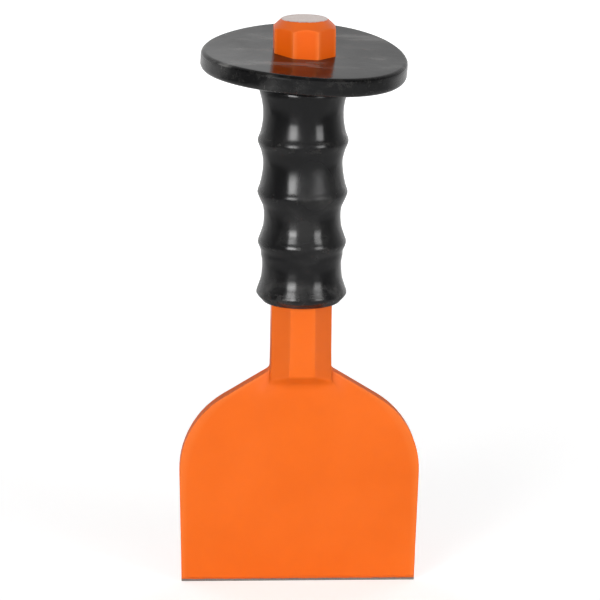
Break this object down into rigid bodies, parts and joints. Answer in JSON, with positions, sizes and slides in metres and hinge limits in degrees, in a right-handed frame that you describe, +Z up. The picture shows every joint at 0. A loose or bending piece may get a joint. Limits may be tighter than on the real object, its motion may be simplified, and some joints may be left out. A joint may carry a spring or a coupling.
{
  "type": "brick bolster",
  "caption": "Wide flat-bladed steel chisel for splitting bricks, with an octagonal shank, struck head and a soft black finger-grooved grip with a round hand guard.",
  "frame": {"origin": "middle of the cutting edge, at the lowest point of the tool standing on its edge", "axes": "+X along the cutting edge, +Z up the shank to the struck face, -Y the front that the picture shows"},
  "size_m": [0.103, 0.086, 0.245],
  "materials": {
    "orange_enamel": "gloss orange paint over forged steel, bare on the ground edge and the struck face",
    "black_soft_plastic": "glossy soft black plastic moulding"
  },
  "bodies": {
    "root": {"forged_chisel": "orange_enamel", "guard_grip": "black_soft_plastic"}
  },
  "joints": []
}
